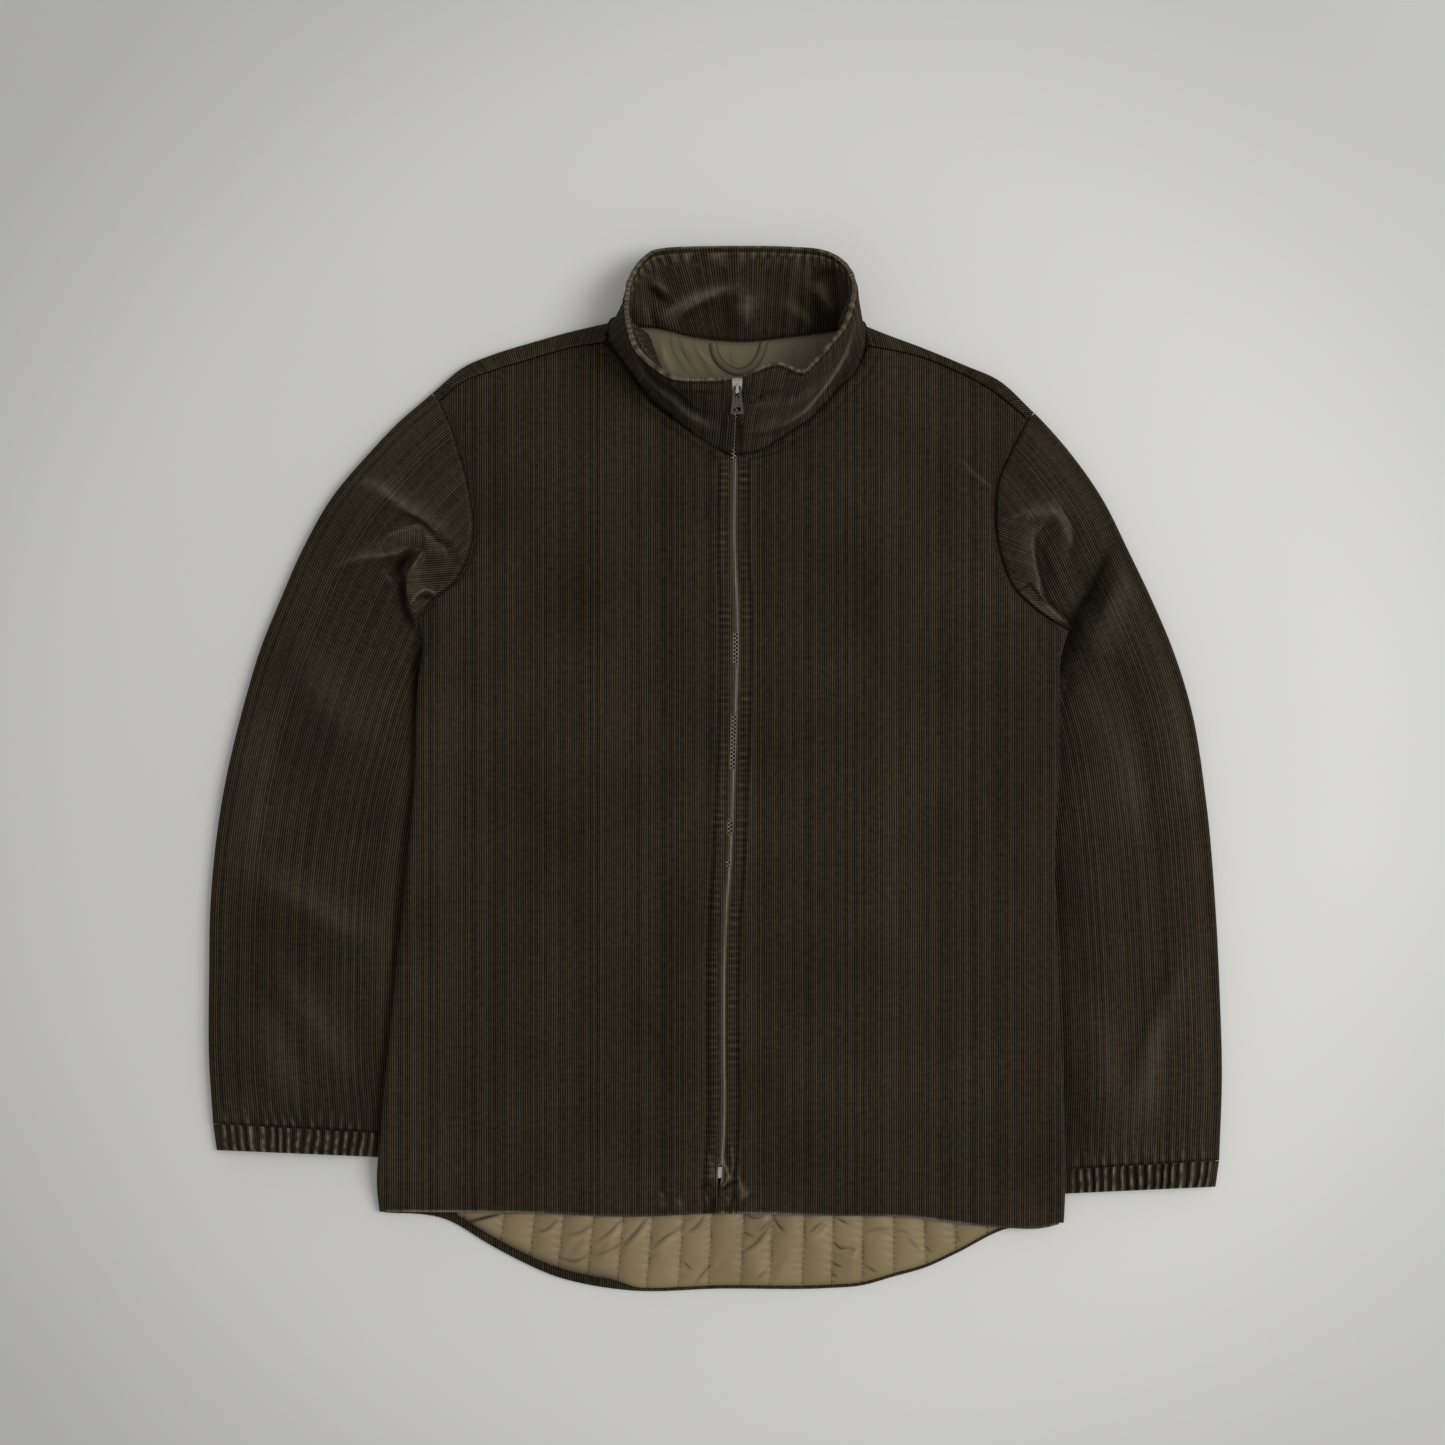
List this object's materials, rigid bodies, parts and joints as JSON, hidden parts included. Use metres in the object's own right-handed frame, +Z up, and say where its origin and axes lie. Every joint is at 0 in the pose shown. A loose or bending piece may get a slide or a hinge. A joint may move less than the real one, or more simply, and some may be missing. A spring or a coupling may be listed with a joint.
{
  "type": "padded corduroy jacket",
  "caption": "Zipped corduroy jacket with a stand collar, gathered cuffs and a quilted drop tail, laid flat with its front up.",
  "frame": {"origin": "middle of the jacket's outline as it lies, on the surface that it lies on", "axes": "+X to the viewer's right across the jacket, +Y from the hem toward the collar, +Z up out of the front"},
  "size_m": [0.8278, 0.8516, 0.059],
  "materials": {
    "corduroy": "dark olive-brown needlecord, matt with a soft sheen",
    "corduroy_inside": "the same needlecord inside the collar",
    "lining": "khaki woven nylon, slightly shiny",
    "dark_metal": "dark metal, read as aged brass",
    "bright_metal": "bright metal, read as nickel-plated brass"
  },
  "bodies": {
    "jacket": {"back_panel": "corduroy", "front_left": "corduroy", "front_right": "corduroy", "sleeve_left": "corduroy", "sleeve_right": "corduroy", "cuff_left": "corduroy", "cuff_right": "corduroy", "collar_outer": "corduroy", "collar_inner": "corduroy_inside", "neck_lining": "lining", "tail_lining": "lining", "hang_loop": "lining", "zip_chain": "dark_metal", "zip_box": "bright_metal", "zip_slider": "bright_metal"},
    "pull": {"zip_pull": "dark_metal"}
  },
  "joints": [
    {"name": "pull_tab_hinge", "type": "hinge", "parent": "jacket", "child": "pull", "pos_m": [0.01756, 0.30257, 0.05298], "axis": [-1, 0, 0], "range_deg": [0, 150]}
  ]
}
